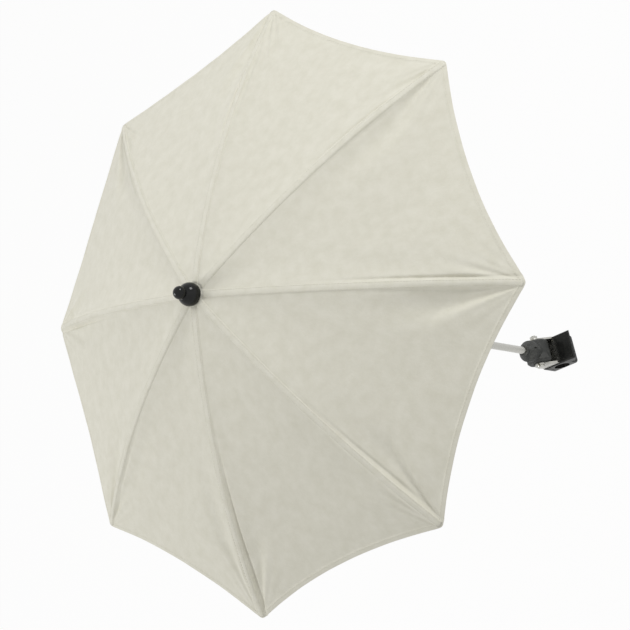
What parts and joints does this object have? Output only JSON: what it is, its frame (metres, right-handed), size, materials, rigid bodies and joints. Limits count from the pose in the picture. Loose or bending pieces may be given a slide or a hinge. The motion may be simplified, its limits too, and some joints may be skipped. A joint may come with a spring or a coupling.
{
  "type": "pram parasol",
  "caption": "Folding round parasol with a scalloped cloth canopy on curved ribs, a straight steel shaft, a tilting knuckle and a screw clamp for a pram's tube.",
  "frame": {"origin": "centre of the clamped tube, midway along the clamp's jaws", "axes": "+Z along the shaft to the canopy, +Y along the clamped tube, +X from the shaft towards the jaws' hinge"},
  "size_m": [0.6694, 0.6694, 0.7704],
  "materials": {
    "cream_cloth": "matte woven cotton",
    "bright_steel": "bright plated",
    "black_gloss": "gloss",
    "black_plastic": "satin",
    "grey_plastic": "fine texture",
    "rubber": "matte"
  },
  "bodies": {
    "clamp": {"clamp_upper_jaw": "black_plastic", "yoke": "bright_steel", "yoke_screws": "bright_steel", "pivot_bolt": "bright_steel", "pivot_nut": "bright_steel", "friction_washers": "grey_plastic", "captive_nut": "bright_steel", "upper_pad": "rubber", "jaw_hinge_pin": "bright_steel"},
    "lower_jaw": {"clamp_lower_jaw": "black_plastic", "lower_pad": "rubber"},
    "screw_washer": {"screw_washer": "bright_steel"},
    "thumbscrew": {"thumbscrew_rod": "bright_steel", "thumbscrew_knob": "black_plastic"},
    "shaft": {"knuckle": "grey_plastic", "socket_pin": "bright_steel", "shaft_tube": "bright_steel", "crown": "black_plastic", "crown_pins": "bright_steel", "crown_rivet": "bright_steel", "finial": "black_gloss", "finial_stud": "bright_steel", "catch_pin": "bright_steel"},
    "top_catch": {"top_catch": "bright_steel"},
    "runner": {"runner": "black_plastic", "runner_pins": "bright_steel"},
    "rib_1": {"rib_1": "bright_steel", "canopy_panel_1": "cream_cloth"},
    "stretcher_1": {"stretcher_1": "bright_steel", "stretcher_rivet_1": "bright_steel"},
    "rib_2": {"rib_2": "bright_steel", "canopy_panel_2": "cream_cloth"},
    "stretcher_2": {"stretcher_2": "bright_steel", "stretcher_rivet_2": "bright_steel"},
    "rib_3": {"rib_3": "bright_steel", "canopy_panel_3": "cream_cloth"},
    "stretcher_3": {"stretcher_3": "bright_steel", "stretcher_rivet_3": "bright_steel"},
    "rib_4": {"rib_4": "bright_steel", "canopy_panel_4": "cream_cloth"},
    "stretcher_4": {"stretcher_4": "bright_steel", "stretcher_rivet_4": "bright_steel"},
    "rib_5": {"rib_5": "bright_steel", "canopy_panel_5": "cream_cloth"},
    "stretcher_5": {"stretcher_5": "bright_steel", "stretcher_rivet_5": "bright_steel"},
    "rib_6": {"rib_6": "bright_steel", "canopy_panel_6": "cream_cloth"},
    "stretcher_6": {"stretcher_6": "bright_steel", "stretcher_rivet_6": "bright_steel"},
    "rib_7": {"rib_7": "bright_steel", "canopy_panel_7": "cream_cloth"},
    "stretcher_7": {"stretcher_7": "bright_steel", "stretcher_rivet_7": "bright_steel"},
    "rib_8": {"rib_8": "bright_steel", "canopy_panel_8": "cream_cloth"},
    "stretcher_8": {"stretcher_8": "bright_steel", "stretcher_rivet_8": "bright_steel"}
  },
  "joints": [
    {"name": "shaft_tilt", "type": "hinge", "parent": "clamp", "child": "shaft", "pos_m": [-0.012, 0, 0.0355], "axis": [0, 1, 0], "range_deg": [-90, 90]},
    {"name": "jaw_open", "type": "hinge", "parent": "clamp", "child": "lower_jaw", "pos_m": [0.019, 0, 0], "axis": [0, -1, 0], "range_deg": [0, 12.5]},
    {"name": "screw_advance", "type": "slide", "parent": "clamp", "child": "screw_washer", "axis": [0, 0, -1], "range_m": [0, 0.00971]},
    {"name": "thumbscrew_turn", "type": "hinge", "parent": "screw_washer", "child": "thumbscrew", "pos_m": [-0.017, 0, 0], "axis": [0, 0, 1], "range_deg": [0, 874.25]},
    {"name": "catch_press", "type": "hinge", "parent": "shaft", "child": "top_catch", "pos_m": [-0.00981, 0.00021, 0.5565], "axis": [0.0958, -0.9954, 0], "range_deg": [0, 8], "stiffness_Nm_per_rad": 0.3},
    {"name": "rib_1_fold", "type": "hinge", "parent": "shaft", "child": "rib_1", "pos_m": [-0.00339, -0.00263, 0.70958], "axis": [0.2924, 0.9563, 0], "range_deg": [0, 65], "deforming": ["canopy_panel_1", "canopy_panel_2", "canopy_panel_3", "canopy_panel_4", "canopy_panel_5", "canopy_panel_6", "canopy_panel_7", "canopy_panel_8", "top_catch"]},
    {"name": "stretcher_1_fold", "type": "hinge", "parent": "rib_1", "child": "stretcher_1", "pos_m": [0.13508, -0.04497, 0.67044], "axis": [0.2924, 0.9563, 0], "range_deg": [-130, 0]},
    {"name": "runner_fold", "type": "hinge", "parent": "stretcher_1", "child": "runner", "pos_m": [-0.00339, -0.00263, 0.6313], "axis": [0.2924, 0.9563, 0], "range_deg": [0, 65]},
    {"name": "rib_2_fold", "type": "hinge", "parent": "shaft", "child": "rib_2", "pos_m": [-0.00405, 0.00423, 0.70958], "axis": [-0.4695, 0.8829, 0], "range_deg": [0, 65]},
    {"name": "stretcher_2_fold", "type": "hinge", "parent": "rib_2", "child": "stretcher_2", "pos_m": [0.1238, 0.07221, 0.67044], "axis": [-0.4695, 0.8829, 0], "range_deg": [-130, 0]},
    {"name": "rib_3_fold", "type": "hinge", "parent": "shaft", "child": "rib_3", "pos_m": [-0.00937, 0.00861, 0.70958], "axis": [-0.9563, 0.2924, 0], "range_deg": [0, 65]},
    {"name": "stretcher_3_fold", "type": "hinge", "parent": "rib_3", "child": "stretcher_3", "pos_m": [0.03297, 0.14708, 0.67044], "axis": [-0.9563, 0.2924, 0], "range_deg": [-130, 0]},
    {"name": "rib_4_fold", "type": "hinge", "parent": "shaft", "child": "rib_4", "pos_m": [-0.01623, 0.00795, 0.70958], "axis": [-0.8829, -0.4695, 0], "range_deg": [0, 65]},
    {"name": "stretcher_4_fold", "type": "hinge", "parent": "rib_4", "child": "stretcher_4", "pos_m": [-0.08421, 0.1358, 0.67044], "axis": [-0.8829, -0.4695, 0], "range_deg": [-130, 0]},
    {"name": "rib_5_fold", "type": "hinge", "parent": "shaft", "child": "rib_5", "pos_m": [-0.02061, 0.00263, 0.70958], "axis": [-0.2924, -0.9563, 0], "range_deg": [0, 65]},
    {"name": "stretcher_5_fold", "type": "hinge", "parent": "rib_5", "child": "stretcher_5", "pos_m": [-0.15908, 0.04497, 0.67044], "axis": [-0.2924, -0.9563, 0], "range_deg": [-130, 0]},
    {"name": "rib_6_fold", "type": "hinge", "parent": "shaft", "child": "rib_6", "pos_m": [-0.01995, -0.00423, 0.70958], "axis": [0.4695, -0.8829, 0], "range_deg": [0, 65]},
    {"name": "stretcher_6_fold", "type": "hinge", "parent": "rib_6", "child": "stretcher_6", "pos_m": [-0.1478, -0.07221, 0.67044], "axis": [0.4695, -0.8829, 0], "range_deg": [-130, 0]},
    {"name": "rib_7_fold", "type": "hinge", "parent": "shaft", "child": "rib_7", "pos_m": [-0.01463, -0.00861, 0.70958], "axis": [0.9563, -0.2924, 0], "range_deg": [0, 65]},
    {"name": "stretcher_7_fold", "type": "hinge", "parent": "rib_7", "child": "stretcher_7", "pos_m": [-0.05697, -0.14708, 0.67044], "axis": [0.9563, -0.2924, 0], "range_deg": [-130, 0]},
    {"name": "rib_8_fold", "type": "hinge", "parent": "shaft", "child": "rib_8", "pos_m": [-0.00777, -0.00795, 0.70958], "axis": [0.8829, 0.4695, 0], "range_deg": [0, 65]},
    {"name": "stretcher_8_fold", "type": "hinge", "parent": "rib_8", "child": "stretcher_8", "pos_m": [0.06021, -0.1358, 0.67044], "axis": [0.8829, 0.4695, 0], "range_deg": [-130, 0]}
  ],
  "couplings": [
    {"joint": "thumbscrew_turn", "follows": "screw_advance", "rad_per_m": 1570.8},
    {"joint": "jaw_open", "follows": "screw_advance", "rad_per_m": 22.47},
    {"joint": "stretcher_1_fold", "follows": "rib_1_fold", "ratio": -2},
    {"joint": "runner_fold", "follows": "rib_1_fold", "ratio": 1},
    {"joint": "rib_2_fold", "follows": "rib_1_fold", "ratio": 1},
    {"joint": "stretcher_2_fold", "follows": "rib_1_fold", "ratio": -2},
    {"joint": "rib_3_fold", "follows": "rib_1_fold", "ratio": 1},
    {"joint": "stretcher_3_fold", "follows": "rib_1_fold", "ratio": -2},
    {"joint": "rib_4_fold", "follows": "rib_1_fold", "ratio": 1},
    {"joint": "stretcher_4_fold", "follows": "rib_1_fold", "ratio": -2},
    {"joint": "rib_5_fold", "follows": "rib_1_fold", "ratio": 1},
    {"joint": "stretcher_5_fold", "follows": "rib_1_fold", "ratio": -2},
    {"joint": "rib_6_fold", "follows": "rib_1_fold", "ratio": 1},
    {"joint": "stretcher_6_fold", "follows": "rib_1_fold", "ratio": -2},
    {"joint": "rib_7_fold", "follows": "rib_1_fold", "ratio": 1},
    {"joint": "stretcher_7_fold", "follows": "rib_1_fold", "ratio": -2},
    {"joint": "rib_8_fold", "follows": "rib_1_fold", "ratio": 1},
    {"joint": "stretcher_8_fold", "follows": "rib_1_fold", "ratio": -2}
  ]
}
